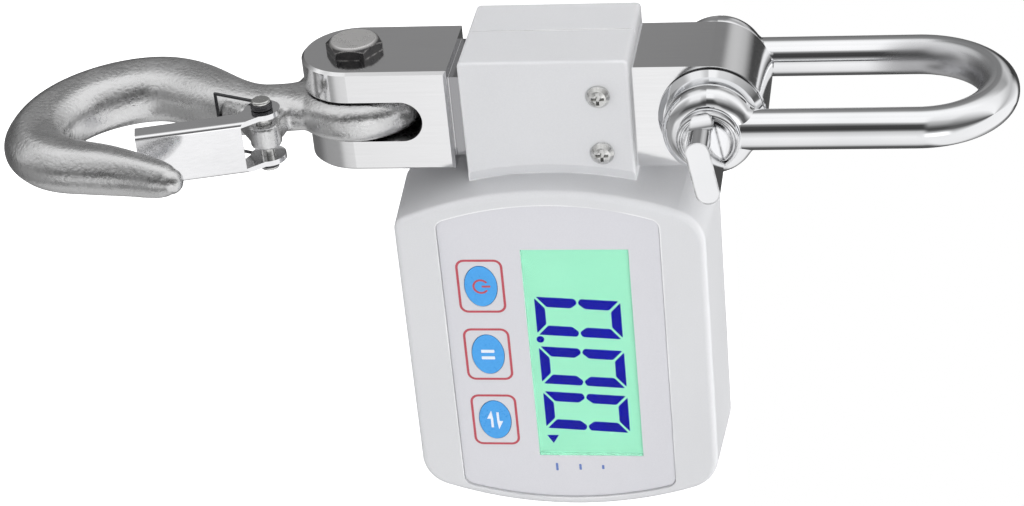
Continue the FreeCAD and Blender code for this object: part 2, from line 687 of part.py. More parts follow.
def case_gasket():
    """Flat seal in the parting plane, set back from the outside."""
    y0, y1 = seam_y - gasket_t / 2, seam_y + gasket_t / 2
    ring = case_block(y0, flare, y1, flare, 0.5)
    ring = ring.cut(case_block(y0 - 1, flare, y1 + 1, flare, wall))
    gap = box(-30, case_top + 12, y0 - 1, y1 + 1, cover_z0 - 0.5, cover_z1 + 0.5)
    return ring.cut(gap)


def cover_screws():
    out = []
    for x in (-cover_screw_x, cover_screw_x):
        out.append(at(pan_screw(11.0), x, cover_yf, cover_screw_z))
        out.append(at(from_back(pan_screw(11.0)), x, cover_yr, cover_screw_z))
    return Part.Compound(out)


def case_screws():
    y = seam_y + gasket_t / 2 + 5.0
    return Part.Compound([at(from_back(pan_screw(14.0)), x, y, z) for x, z in boss_spots()])


def board_screws():
    s = from_back(pan_screw(6.5, 2.5, 4.6, 1.6))
    return Part.Compound([at(s, x, board_back(), z) for x, z in board_screws_at])


def overlay_panel():
    y1 = case_front + recess
    s = panel_shape(y1 - panel_t, y1, slip)
    s = s.cut(lcd_plate(view_l + 0.1, view_h + 0.1, y1 - 2, y1 + 1))
    for x in key_x:
        s = s.cut(oval(key_l + 2 * slip, key_h + 2 * slip, x, key_z, y1 - 2, y1 + 1))
    return s


def lcd_plate(length, height, y0, y1):
    """Plate along Y, centred on the display."""
    x, z = length / 2, height / 2
    return box(lcd_x - x, lcd_x + x, y0, y1, lcd_z - z, lcd_z + z)


def lcd_window():
    return lcd_plate(view_l, view_h, case_front + recess - panel_t, case_front + front_wall - slip)


def lcd_glass():
    y0 = case_front + front_wall
    return lcd_plate(glass_l, glass_h, y0, y0 + glass_t)


def light_guide():
    y0 = case_front + front_wall + glass_t
    return lcd_plate(glass_l - 2.0, glass_h - 6.0, y0, y0 + light_t)


def contact_strips():
    y0 = case_front + front_wall + glass_t
    out = []
    for s in (1, -1):
        z0, z1 = sorted((lcd_z + s * (glass_h / 2 - 0.4), lcd_z + s * (glass_h / 2 - 2.6)))
        out.append(box(lcd_x - glass_l / 2 + 2, lcd_x + glass_l / 2 - 2, y0, y0 + light_t, z0, z1))
    return Part.Compound(out)


def lcd_frame():
    y0, y1 = case_front + front_wall, board_front()
    outer = lcd_plate(glass_l + 2.4, glass_h + 2.4, y0, y1)
    return outer.cut(lcd_plate(glass_l + 0.2, glass_h + 0.2, y0 - 1, y1 + 1))


def circuit_board():
    b = box(board_x0, board_x1, board_front(), board_back(), board_z0, board_z1)
    for x, z in boss_spots():
        b = b.cut(cyl(boss_d / 2 + 0.5, (x, board_front() - 1, z), (x, board_back() + 1, z)))
    for x, z in board_screws_at:
        b = b.cut(cyl(1.25 + slip, (x, board_front() - 1, z), (x, board_back() + 1, z)))
    return b


def key_cap(x):
    y0 = case_front + recess - panel_t - key_out
    floor = case_front + front_wall
    cap = oval(key_l, key_h, x, key_z, y0, floor)
    rim = rim_edges(cap, y0)
    cap = cap.makeFillet(0.12, rim)
    cap = cap.fuse(oval(key_l + 2 * key_rim, key_h + 2 * key_rim, x, key_z, floor, floor + 1.0))
    stem_end = board_front() - switch_h - plunger_out
    return cap.fuse(cyl(2.0, (x, floor, key_z), (x, stem_end, key_z)))


def key_plunger(x):
    y0 = board_front() - switch_h - plunger_out
    return cyl(plunger_d / 2, (x, y0, key_z), (x, y0 + 2.2, key_z))


def tact_switches():
    out = []
    w = switch_w / 2
    for x in key_x:
        y1 = board_front()
        s = box(x - w, x + w, y1 - switch_h, y1, key_z - w, key_z + w)
        bore = cyl(plunger_d / 2 + slip, (x, y1 - switch_h - 1, key_z), (x, y1 - switch_h + 2.0, key_z))
        out.append(s.cut(bore))
    return Part.Compound(out)


def buzzer():
    y = board_back()
    x, z = buzzer_at
    return cyl(6.0, (x, y, z), (x, y + 6.0, z)).cut(cyl(1.0, (x, y + 5.0, z), (x, y + 7.0, z)))


def chips():
    y = board_back()
    spots = [(68.0, 28.2, 12.0, 12.0, 1.6), (47.0, 34.2, 10.0, 6.0, 1.5),
             (85.0, 30.2, 5.0, 4.0, 1.2), (60.0, 46.2, 4.5, 11.0, 3.2)]
    return Part.Compound([box(x - a / 2, x + a / 2, y, y + h, board_z0 + up - b / 2, board_z0 + up + b / 2)
                          for x, up, a, b, h in spots])


def cable_socket():
    y = board_back()
    s = box(cable_turn_x - 5, cable_turn_x + 5, y, y + 6.0, pocket_z - 3.4, pocket_z + 3.4)
    mouth = (cable_turn_x, y + 5.0, pocket_z), (cable_turn_x, y + 7.0, pocket_z)
    return s.cut(cyl(cable_d / 2 + 0.02, *mouth))


# batteries


def cell_spots():
    """z of each cell and the end its plus pole is at."""
    return [(case_zc + (i - 1) * cell_pitch, (-1, 1, -1)[i]) for i in range(3)]


def cell_y():
    return tray_floor() + 0.1 + cell_d / 2 - 0.05


def batteries():
    out = []
    for z, end in cell_spots():
        y = cell_y()
        if end < 0:
            x0 = tray_x0 + plate_t
            body = cyl(cell_d / 2, (x0 + nub_l, y, z), (x0 + nub_l + cell_l, y, z))
            nub = cyl(2.8, (x0, y, z), (x0 + nub_l, y, z))
        else:
            x0 = tray_x1 - plate_t
            body = cyl(cell_d / 2, (x0 - nub_l - cell_l, y, z), (x0 - nub_l, y, z))
            nub = cyl(2.8, (x0 - nub_l, y, z), (x0, y, z))
        body = body.makeFillet(0.5, [e for e in body.Edges if len(e.Vertexes) == 1])
        out.append(body.fuse(nub))
    return Part.Compound(out)


def battery_springs():
    """Conical springs that press each cell onto its plus plate."""
    out = []
    w = 0.4
    gap = tray_x1 - tray_x0 - 2 * plate_t - nub_l - cell_l
    for z, end in cell_spots():
        x0 = tray_x1 - plate_t - w if end < 0 else tray_x0 + plate_t + w
        run = (gap - 2 * w) * (-1 if end < 0 else 1)
        pts = []
        for i in range(37):
            t = i / 36
            r = 4.6 - 1.8 * t
            a = 2 * math.pi * 3 * t
            pts.append(Vector(x0 + run * t, cell_y() + r * math.cos(a), z + r * math.sin(a)))
        b = Part.BSplineCurve()
        b.interpolate(pts)
        ring = Part.Wire(Part.makeCircle(w, pts[0], pts[1] - pts[0]))
        out.append(Part.Wire(b.toShape()).makePipeShell([ring], True, False))
    return Part.Compound(out)


def tab_spots():
    x = tray_x0 + plate_t / 2
    return [(x, cell_spots()[0][0]), (x, cell_spots()[2][0])]


def battery_plates():
    out = []
    y = cell_y()
    for z, end in cell_spots():
        for x in (tray_x0, tray_x1 - plate_t):
            p = box(x, x + plate_t, tray_floor(), y + 5.5, z - 5.5, z + 5.5)
            if (x + plate_t / 2, z) in tab_spots():
                p = p.fuse(box(x, x + plate_t, tray_floor() - tab_len, tray_floor(), z - 1.5, z + 1.5))
            out.append(p)
    return Part.Compound(out)


def battery_wires():
    """Leads from the plate tabs straight to the board."""
    out = []
    for x, z in tab_spots():
        out.append(cyl(0.6, (x, board_back(), z), (x, tray_floor() - tab_len, z)))
    return Part.Compound(out)


def battery_door():
    d = door_room(False)
    for i in range(4):
        x = tray_x1 + door_over - 6 - i * 2.4
        d = d.cut(box(x, x + 1.0, case_back - 0.6, case_back + 1, case_zc - 9, case_zc + 9))
    return d


nodes = {
    "shackle_bow": shackle_bow, "shackle_pin": shackle_pin, "shackle_washers": shackle_washers,
    "load_cell": load_cell, "gauge_foils": gauge_foils, "gauge_potting": gauge_potting,
    "load_cell_cable": load_cell_cable, "cable_grommet": cable_grommet,
    "clevis_bolt": clevis_bolt,
    "hook": hook, "latch": latch, "latch_pin": latch_pin, "latch_spring": latch_spring,
    "front_shell": front_shell, "rear_shell": rear_shell, "case_gasket": case_gasket,
    "cover_screws": cover_screws, "case_screws": case_screws, "board_screws": board_screws,
    "overlay_panel": overlay_panel, "lcd_window": lcd_window, "lcd_glass": lcd_glass,
    "light_guide": light_guide, "contact_strips": contact_strips, "lcd_frame": lcd_frame,
    "circuit_board": circuit_board, "tact_switches": tact_switches, "buzzer": buzzer,
    "chips": chips, "cable_socket": cable_socket, "batteries": batteries,
    "battery_springs": battery_springs, "battery_plates": battery_plates,
    "battery_wires": battery_wires, "battery_door": battery_door,
}
for name, build in nodes.items():
    build().exportStep("parts/" + name + ".step")
for name, x in zip(("power", "hold", "unit"), key_x):
    key_cap(x).exportStep("parts/" + name + "_key.step")
    key_plunger(x).exportStep("parts/" + name + "_plunger.step")
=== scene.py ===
import bpy, bmesh, math
from mathutils import Matrix, Vector


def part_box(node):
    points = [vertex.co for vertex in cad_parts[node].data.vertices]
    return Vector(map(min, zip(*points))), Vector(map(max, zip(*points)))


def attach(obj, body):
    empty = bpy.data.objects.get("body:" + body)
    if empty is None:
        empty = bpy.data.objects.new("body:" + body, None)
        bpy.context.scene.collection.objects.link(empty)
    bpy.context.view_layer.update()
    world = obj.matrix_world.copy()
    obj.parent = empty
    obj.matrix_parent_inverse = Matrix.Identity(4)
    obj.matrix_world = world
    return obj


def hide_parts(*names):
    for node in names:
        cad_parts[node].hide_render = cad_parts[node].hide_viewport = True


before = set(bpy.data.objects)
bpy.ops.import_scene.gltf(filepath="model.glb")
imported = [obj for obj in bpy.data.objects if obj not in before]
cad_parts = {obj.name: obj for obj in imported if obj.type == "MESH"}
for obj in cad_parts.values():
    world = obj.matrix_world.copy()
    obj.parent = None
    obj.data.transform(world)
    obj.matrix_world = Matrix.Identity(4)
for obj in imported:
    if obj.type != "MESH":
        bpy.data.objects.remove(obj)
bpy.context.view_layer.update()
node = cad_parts
scene = bpy.context.scene
scene.view_settings.view_transform = "Standard"
mm = 0.001

# Camera. The photograph looks down on the scale from the shackle's left,
# with the load line lying across the picture and the hook at the left.
camera = bpy.data.objects.new("camera", bpy.data.cameras.new("camera"))
scene.collection.objects.link(camera)
camera.data.lens = 91.19
camera.data.sensor_width = 36.0
camera.data.clip_start = 0.05
camera.data.clip_end = 50.0
camera_right = Vector((0.0868, 0.1392, 0.9865))
camera_up = Vector((-0.8599, 0.5105, 0.0036))
camera_back = camera_right.cross(camera_up)
camera.matrix_world = (Matrix.Translation(Vector((-325.0, -633.9, -9.6)) * mm)
                       @ Matrix((camera_right, camera_up, camera_back)).transposed().to_4x4())
scene.camera = camera

# Floor. A pale sheet well below the hanging hook, so the object's shadow
# on it stays soft. The camera sees it lit a little more, up to white, and
# looks through it from below.
floor_mesh = bmesh.new()
bmesh.ops.create_grid(floor_mesh, x_segments=8, y_segments=8, size=6.0)
bmesh.ops.translate(floor_mesh, vec=(0, 0, -0.62), verts=floor_mesh.verts)
floor = bpy.data.objects.new("floor", bpy.data.meshes.new("floor"))
floor_mesh.to_mesh(floor.data)
floor_mesh.free()
scene.collection.objects.link(floor)
paper = bpy.data.materials.new("floor_paper")
paper.use_nodes = True
paper_tree = paper.node_tree
paper_shader = paper_tree.nodes["Principled BSDF"]
paper_shader.inputs["Base Color"].default_value = (0.86, 0.86, 0.87, 1)
paper_shader.inputs["Roughness"].default_value = 0.9
paper_shader.inputs["Emission Color"].default_value = (1, 1, 1, 1)
paper_path = paper_tree.nodes.new("ShaderNodeLightPath")
paper_tree.links.new(paper_path.outputs["Is Camera Ray"], paper_shader.inputs["Emission Strength"])
paper_side = paper_tree.nodes.new("ShaderNodeNewGeometry")
paper_mix = paper_tree.nodes.new("ShaderNodeMixShader")
paper_tree.links.new(paper_side.outputs["Backfacing"], paper_mix.inputs[0])
paper_tree.links.new(paper_shader.outputs[0], paper_mix.inputs[1])
paper_tree.links.new(paper_tree.nodes.new("ShaderNodeBsdfTransparent").outputs[0], paper_mix.inputs[2])
paper_tree.links.new(paper_mix.outputs[0], paper_tree.nodes["Material Output"].inputs["Surface"])
floor.data.materials.append(paper)
floor.visible_glossy = False

# Room and lamps. A white studio with dark cloths hung between the white
# panels. Its panels are given turned about the load line, as six rings
# from the ground to the ceiling; they draw the long bands on the bright
# plating and glint on the forged hook. Soft lamps shade the plastic.
world = bpy.data.worlds.new("studio")
scene.world = world
world.use_nodes = True
room = world.node_tree
room.nodes.clear()
room_out = room.nodes.new("ShaderNodeOutputWorld")
room_dir = room.nodes.new("ShaderNodeTexCoord")
room_axes = room.nodes.new("ShaderNodeSeparateXYZ")
room.links.new(room_dir.outputs["Generated"], room_axes.inputs[0])
room_turn = room.nodes.new("ShaderNodeMath")
room_turn.operation = "ARCTAN2"
room.links.new(room_axes.outputs["Y"], room_turn.inputs[0])
room.links.new(room_axes.outputs["X"], room_turn.inputs[1])
room_share = room.nodes.new("ShaderNodeMapRange")
room_share.inputs["From Min"].default_value = -math.pi
room_share.inputs["From Max"].default_value = math.pi
room.links.new(room_turn.outputs[0], room_share.inputs["Value"])


def panel_ring(panels):
    """Brightness of the room round the load line, as (degrees from +X, light)."""
    ring = room.nodes.new("ShaderNodeValToRGB")
    room.links.new(room_share.outputs[0], ring.inputs["Fac"])
    ends = ring.color_ramp.elements
    ends[0].position, ends[1].position = 0.0, 1.0
    for end in ends:
        end.color = (0.95, 0.95, 0.955, 1)
    for degrees, light in panels:
        ring.color_ramp.elements.new(degrees / 360 + 0.5).color = (light, light, light * 1.005, 1)
    return ring.outputs["Color"]


def above(height, soft, below, over):
    """The ring `over` from this height (sine of elevation) upwards."""
    step = room.nodes.new("ShaderNodeMapRange")
    step.interpolation_type = "SMOOTHSTEP"
    step.inputs["From Min"].default_value = height - soft
    step.inputs["From Max"].default_value = height + soft
    room.links.new(room_axes.outputs["Z"], step.inputs["Value"])
    mix = room.nodes.new("ShaderNodeMix")
    mix.data_type = "RGBA"
    room.links.new(step.outputs[0], mix.inputs["Factor"])
    room.links.new(below, mix.inputs[6])
    room.links.new(over, mix.inputs[7])
    return mix.outputs[2]


pit_ring = panel_ring([(-150, 0.45), (-110, 0.22), (-60, 0.34), (-10, 0.30), (30, 0.16), (80, 0.10),
                       (130, 0.22), (160, 0.45)])
ground_ring = panel_ring([(-144, 0.85), (-130, 0.55), (-112, 0.15), (-97, 0.06), (-84, 0.28), (-73, 0.84),
                          (-58, 0.66), (-44, 0.16), (-28, 0.30), (-10, 0.55), (12, 0.60), (32, 0.40),
                          (47, 0.14), (68, 0.16), (84, 0.06), (97, 0.10), (108, 0.20), (120, 0.24),
                          (131, 0.28), (142, 0.62), (156, 0.80)])
middle_ring = panel_ring([(-168, 0.86), (-156, 0.66), (-144, 0.46), (-132, 0.22), (-120, 0.06), (-108, 0.06),
                          (-97, 0.12), (-85, 0.40), (-73, 0.86), (-60, 0.92), (-20, 0.80), (5, 0.66),
                          (28, 0.45), (46, 0.20), (66, 0.20), (84, 0.30), (98, 0.30), (110, 0.26),
                          (122, 0.21), (144, 0.27), (155, 0.62), (168, 0.94)])
leg_ring = panel_ring([(-172, 1.0), (-150, 0.94), (-140, 0.34), (-131, 0.06), (-112, 0.045),
                       (-104, 0.16), (-95, 0.60), (-84, 0.72), (-66, 0.90), (-48, 0.86), (-20, 0.78),
                       (-6, 0.50), (6, 0.10), (50, 0.07), (72, 0.10), (96, 0.17), (122, 0.22),
                       (136, 0.30), (147, 0.82), (158, 1.0)])
upper_ring = panel_ring([(-156, 0.80), (-144, 0.53), (-132, 0.38), (-119, 0.16), (-107, 0.06), (-96, 0.12),
                         (-85, 0.60), (-78, 1.35), (-70, 1.35), (-62, 0.86), (-34, 0.90), (16, 0.85),
                         (38, 0.30), (56, 0.08), (95, 0.04), (104, 0.46), (112, 0.58), (120, 0.34),
                         (129, 0.42), (141, 0.80), (158, 1.0)])
ceiling_ring = panel_ring([(-150, 0.55), (-130, 0.28), (-110, 0.10), (-94, 0.12), (-78, 0.50), (-64, 0.90),
                           (70, 0.92), (90, 0.66), (108, 0.50), (122, 0.62), (140, 0.85), (160, 0.95)])
room_walls = above(-0.62, 0.10, pit_ring, ground_ring)
room_walls = above(-0.24, 0.10, room_walls, middle_ring)
room_walls = above(-0.095, 0.02, room_walls, leg_ring)
room_walls = above(0.14, 0.07, room_walls, upper_ring)
room_walls = above(0.54, 0.09, room_walls, ceiling_ring)
room_seen = room.nodes.new("ShaderNodeBackground")
room_seen.inputs["Color"].default_value = (1, 1, 1, 1)
room_mirrored = room.nodes.new("ShaderNodeBackground")
room_mirrored.inputs["Strength"].default_value = 1.08
room.links.new(room_walls, room_mirrored.inputs["Color"])
room_fill = room.nodes.new("ShaderNodeBackground")
room_fill.inputs["Color"].default_value = (1, 1, 1, 1)
room_fill.inputs["Strength"].default_value = 0.45
room_path = room.nodes.new("ShaderNodeLightPath")
room_sharp = room.nodes.new("ShaderNodeMixShader")
room.links.new(room_path.outputs["Is Glossy Ray"], room_sharp.inputs[0])
room.links.new(room_fill.outputs[0], room_sharp.inputs[1])
room.links.new(room_mirrored.outputs[0], room_sharp.inputs[2])
room_straight = room.nodes.new("ShaderNodeMath")
room_straight.operation = "MAXIMUM"
room.links.new(room_path.outputs["Is Camera Ray"], room_straight.inputs[0])
room.links.new(room_path.outputs["Is Transmission Ray"], room_straight.inputs[1])
room_mix = room.nodes.new("ShaderNodeMixShader")
room.links.new(room_straight.outputs[0], room_mix.inputs[0])
room.links.new(room_sharp.outputs[0], room_mix.inputs[1])
room.links.new(room_seen.outputs[0], room_mix.inputs[2])
room.links.new(room_mix.outputs[0], room_out.inputs["Surface"])


def soft_lamp(name, place, power, side):
    lamp = bpy.data.objects.new(name, bpy.data.lights.new(name, "AREA"))
    lamp.data.shape = "DISK"
    lamp.data.size = side
    lamp.data.energy = power
    lamp.visible_glossy = False
    aim = Vector((0.03, 0, -0.12))
    lamp.matrix_world = (Matrix.Translation(Vector(place))
                         @ (Vector(place) - aim).to_track_quat("Z", "Y").to_matrix().to_4x4())
    scene.collection.objects.link(lamp)


soft_lamp("key_lamp", (-0.25, -1.20, 0.35), 10.0, 0.7)
soft_lamp("side_lamp", (-1.05, 0.40, -0.35), 6.5, 0.8)
soft_lamp("end_lamp", (0.20, 0.10, 1.25), 13.0, 0.8)

# Shackle. A forged 11 mm bow with round ears and its screw pin with a
# thumb tab, both polished and bright plated. Inside the crown the plating
# is made rougher and painted darker as shade, and the pin's edges carry a
# painted dark reflection. Two spacers sit inside the ears.


def add_socket(group, name, kind, value=None):
    socket = group.interface.new_socket(name, in_out="INPUT", socket_type="NodeSocket" + kind)
    if value is not None:
        socket.default_value = value


def grain_group():
    """Two sizes of mottling: colour, roughness and height over a surface."""
    group = bpy.data.node_groups.new("surface_grain", "ShaderNodeTree")
    add_socket(group, "Fine Size", "Float", 900.0)
    add_socket(group, "Cloud Size", "Float", 40.0)
    add_socket(group, "Stretch", "Vector", (1.0, 1.0, 1.0))
    add_socket(group, "Low Colour", "Color", (0.5, 0.5, 0.5, 1))
    add_socket(group, "High Colour", "Color", (0.6, 0.6, 0.6, 1))
    add_socket(group, "Low Roughness", "Float", 0.3)
    add_socket(group, "High Roughness", "Float", 0.5)
    for name, kind in (("Colour", "Color"), ("Roughness", "Float"), ("Height", "Float")):
        group.interface.new_socket(name, in_out="OUTPUT", socket_type="NodeSocket" + kind)
    nodes, links = group.nodes, group.links
    given, out = nodes.new("NodeGroupInput"), nodes.new("NodeGroupOutput")
    place = nodes.new("ShaderNodeTexCoord")
    pulled = nodes.new("ShaderNodeVectorMath")
    pulled.operation = "MULTIPLY"
    links.new(place.outputs["Object"], pulled.inputs[0])
    links.new(given.outputs["Stretch"], pulled.inputs[1])
    fine, cloud = nodes.new("ShaderNodeTexNoise"), nodes.new("ShaderNodeTexNoise")
    links.new(pulled.outputs[0], fine.inputs["Vector"])
    links.new(given.outputs["Fine Size"], fine.inputs["Scale"])
    fine.inputs["Detail"].default_value = 3.0
    links.new(place.outputs["Object"], cloud.inputs["Vector"])
    links.new(given.outputs["Cloud Size"], cloud.inputs["Scale"])
    cloud.inputs["Detail"].default_value = 4.0
    both = nodes.new("ShaderNodeMix")
    both.inputs["Factor"].default_value = 0.5
    links.new(fine.outputs["Fac"], both.inputs["A"])
    links.new(cloud.outputs["Fac"], both.inputs["B"])
    spread = nodes.new("ShaderNodeMapRange")
    spread.inputs["From Min"].default_value = 0.3
    spread.inputs["From Max"].default_value = 0.7
    links.new(both.outputs["Result"], spread.inputs["Value"])
    colour = nodes.new("ShaderNodeMix")
    colour.data_type = "RGBA"
    links.new(spread.outputs[0], colour.inputs["Factor"])
    links.new(given.outputs["Low Colour"], colour.inputs[6])
    links.new(given.outputs["High Colour"], colour.inputs[7])
    links.new(colour.outputs[2], out.inputs["Colour"])
    rough = nodes.new("ShaderNodeMapRange")
    links.new(spread.outputs[0], rough.inputs["Value"])
    links.new(given.outputs["Low Roughness"], rough.inputs["To Min"])
    links.new(given.outputs["High Roughness"], rough.inputs["To Max"])
    links.new(rough.outputs[0], out.inputs["Roughness"])
    links.new(fine.outputs["Fac"], out.inputs["Height"])
    return group


surface_grain = grain_group()


def material(name, low, high, rough, fine=900.0, cloud=40.0, stretch=(1, 1, 1), metallic=0.0, bump=0.0,
             **sockets):
    """Principled surface with the grain on colour, roughness and normal."""
    made = bpy.data.materials.new(name)
    made.use_nodes = True
    nodes, links = made.node_tree.nodes, made.node_tree.links
    shader = nodes["Principled BSDF"]
    shader.inputs["Metallic"].default_value = metallic
    for socket, value in sockets.items():
        shader.inputs[socket.replace("_", " ")].default_value = value
    grain = nodes.new("ShaderNodeGroup")
    grain.name = "grain"
    grain.node_tree = surface_grain
    grain.inputs["Fine Size"].default_value = fine
    grain.inputs["Cloud Size"].default_value = cloud
    grain.inputs["Stretch"].default_value = stretch
    grain.inputs["Low Colour"].default_value = (*low, 1)
    grain.inputs["High Colour"].default_value = (*high, 1)
    grain.inputs["Low Roughness"].default_value = rough[0]
    grain.inputs["High Roughness"].default_value = rough[1]
    links.new(grain.outputs["Colour"], shader.inputs["Base Color"])
    links.new(grain.outputs["Roughness"], shader.inputs["Roughness"])
    if bump:
        relief = nodes.new("ShaderNodeBump")
        relief.name = "relief"
        relief.inputs["Strength"].default_value = 1.0
        relief.inputs["Distance"].default_value = bump
        links.new(grain.outputs["Height"], relief.inputs["Height"])
        links.new(relief.outputs["Normal"], shader.inputs["Normal"])
    return made


def dress(made, *names):
    """The finish on nodes whose shape is already right."""
    for name in names:
        for slot in node[name].material_slots:
            slot.material = made


def overlay(made, mask, colour):
    """A colour laid over a material's own where the mask is 1."""
    base = made.node_tree.nodes["Principled BSDF"].inputs["Base Color"]
    mix = made.node_tree.nodes.new("ShaderNodeMix")
    mix.data_type = "RGBA"
    made.node_tree.links.new(mask, mix.inputs["Factor"])
    made.node_tree.links.new(base.links[0].from_socket, mix.inputs[6])
    mix.inputs[7].default_value = (*colour, 1)
    made.node_tree.links.new(mix.outputs[2], base)


def along(made, axis):
    """Where the point lies on one of the object's own axes."""
    place = made.node_tree.nodes.new("ShaderNodeTexCoord")
    axes = made.node_tree.nodes.new("ShaderNodeSeparateXYZ")
    made.node_tree.links.new(place.outputs["Object"], axes.inputs[0])
    return axes.outputs[axis]


def edge_group():
    """Mask of the narrow strip along a piece's edges, broken up by noise."""
    group = bpy.data.node_groups.new("edge_wear_and_light", "ShaderNodeTree")
    add_socket(group, "Width", "Float", 0.0004)
    add_socket(group, "Patch Size", "Float", 300.0)
    group.interface.new_socket("Mask", in_out="OUTPUT", socket_type="NodeSocketFloat")
    nodes, links = group.nodes, group.links
    given, out = nodes.new("NodeGroupInput"), nodes.new("NodeGroupOutput")
    rounded = nodes.new("ShaderNodeBevel")
    rounded.samples = 4
    links.new(given.outputs["Width"], rounded.inputs["Radius"])
    true_face = nodes.new("ShaderNodeNewGeometry")
    align = nodes.new("ShaderNodeVectorMath")
    align.operation = "DOT_PRODUCT"
    links.new(rounded.outputs[0], align.inputs[0])
    links.new(true_face.outputs["Normal"], align.inputs[1])
    bend = nodes.new("ShaderNodeMapRange")
    bend.inputs["From Min"].default_value = 0.995
    bend.inputs["From Max"].default_value = 0.90
    links.new(align.outputs["Value"], bend.inputs["Value"])
    place = nodes.new("ShaderNodeTexCoord")
    patches = nodes.new("ShaderNodeTexNoise")
    links.new(place.outputs["Object"], patches.inputs["Vector"])
    links.new(given.outputs["Patch Size"], patches.inputs["Scale"])
    broken = nodes.new("ShaderNodeMapRange")
    broken.inputs["From Min"].default_value = 0.35
    broken.inputs["From Max"].default_value = 0.6
    links.new(patches.outputs["Fac"], broken.inputs["Value"])
    both = nodes.new("ShaderNodeMath")
    both.operation = "MULTIPLY"
    links.new(bend.outputs[0], both.inputs[0])
    links.new(broken.outputs[0], both.inputs[1])
    links.new(both.outputs[0], out.inputs["Mask"])
    return group


edge_wear_and_light = edge_group()


def paint_edge_wear_and_light(made, edge_tone, width, patch):
    """Edge colour over a material's own: real wear on some pieces, painted highlight or painted shade on
    others.
    """
    edges = made.node_tree.nodes.new("ShaderNodeGroup")
    edges.node_tree = edge_wear_and_light
    edges.inputs["Width"].default_value = width
    edges.inputs["Patch Size"].default_value = patch
    overlay(made, edges.outputs["Mask"], edge_tone)


bright_plate = material("bright_plate", (0.84, 0.85, 0.86), (0.92, 0.92, 0.93), (0.03, 0.07),
                        fine=70.0, cloud=30.0, metallic=1.0, bump=0.000001)
crown_r, fade_r = 0.0162, 0.0222
plate_nodes, plate_links = bright_plate.node_tree.nodes, bright_plate.node_tree.links
plate_place = plate_nodes.new("ShaderNodeTexCoord")
crown_plane = plate_nodes.new("ShaderNodeVectorMath")
crown_plane.operation = "MULTIPLY_ADD"
crown_plane.inputs[1].default_value = (0.0, 1.0, 1.0)
crown_plane.inputs[2].default_value = (0.0, 0.0, crown_r)
plate_links.new(plate_place.outputs["Object"], crown_plane.inputs[0])
crown_reach = plate_nodes.new("ShaderNodeVectorMath")
crown_reach.operation = "LENGTH"
plate_links.new(crown_plane.outputs[0], crown_reach.inputs[0])
# Painted shade: inside the crown the plating is painted darker; it is also made rougher.
crown_painted_shade = plate_nodes.new("ShaderNodeMapRange")
crown_painted_shade.interpolation_type = "SMOOTHSTEP"
crown_painted_shade.inputs["From Min"].default_value = fade_r
crown_painted_shade.inputs["From Max"].default_value = crown_r
plate_links.new(crown_reach.outputs["Value"], crown_painted_shade.inputs["Value"])
overlay(bright_plate, crown_painted_shade.outputs[0], (0.46, 0.46, 0.47))
plate_polish = plate_nodes.new("ShaderNodeMix")
plate_links.new(crown_painted_shade.outputs[0], plate_polish.inputs["Factor"])
plate_links.new(plate_nodes["grain"].outputs["Roughness"], plate_polish.inputs["A"])
plate_polish.inputs["B"].default_value = 0.34
plate_links.new(plate_polish.outputs["Result"], plate_nodes["Principled BSDF"].inputs["Roughness"])
dress(bright_plate, "shackle_bow", "shackle_washers")
pin_plate = material("pin_plate", (0.86, 0.87, 0.88), (0.92, 0.92, 0.93), (0.04, 0.09),
                     fine=70.0, cloud=30.0, metallic=1.0, bump=0.000001)
# Painted dark reflection along the pin's edges.
paint_edge_wear_and_light(pin_plate, (0.04, 0.04, 0.045), 0.0009, 220.0)
dress(pin_plate, "shackle_pin")

# Load-cell bar. One piece of square steel, ground on all faces and nickel
# plated, with a painted highlight along its broken corners. The grinding
# runs along the bar; the neck, mostly hidden in the sleeve, is painted
# darker as shade.


ground_steel = material("ground_steel", (0.84, 0.84, 0.845), (0.90, 0.90, 0.905), (0.08, 0.15),
                        fine=1400.0, cloud=25.0, stretch=(1, 1, 0.04), metallic=1.0, bump=0.000004)
# Painted highlight along the bar's broken corners.
paint_edge_wear_and_light(ground_steel, (0.97, 0.97, 0.975), 0.0004, 200.0)
# Painted shade: the neck is painted darker where the sleeve hides it.
neck_mid, neck_half = -0.12560, 0.01695
neck_painted_shade = ground_steel.node_tree.nodes.new("ShaderNodeMath")
neck_painted_shade.operation = "COMPARE"
neck_painted_shade.inputs[1].default_value = neck_mid
neck_painted_shade.inputs[2].default_value = neck_half
ground_steel.node_tree.links.new(along(ground_steel, "Z"), neck_painted_shade.inputs[0])
overlay(ground_steel, neck_painted_shade.outputs[0], (0.36, 0.36, 0.37))
dress(ground_steel, "load_cell")

# Strain gauges. Two foils glued to the thin web in the bar's neck, sealed
# under pale compound; the round cable leaves through it, passes a rubber
# grommet in the case wall and bends to its socket on the board.
gauge_film = material("gauge_film", (0.55, 0.30, 0.08), (0.70, 0.42, 0.15), (0.2, 0.35),
                      fine=4000.0, stretch=(1, 0.05, 1), bump=0.000003)
dress(gauge_film, "gauge_foils")
compound = material("compound", (0.70, 0.69, 0.64), (0.78, 0.77, 0.73), (0.35, 0.55),
                    fine=500.0, bump=0.00002)
dress(compound, "gauge_potting")
cable_jacket = material("cable_jacket", (0.18, 0.18, 0.19), (0.24, 0.24, 0.25), (0.4, 0.55),
                        fine=1200.0, cloud=120.0, bump=0.00001)
dress(cable_jacket, "load_cell_cable")
black_rubber = material("black_rubber", (0.016, 0.016, 0.017), (0.035, 0.035, 0.036), (0.6, 0.8),
                        fine=1800.0, bump=0.00001)
dress(black_rubber, "cable_grommet")
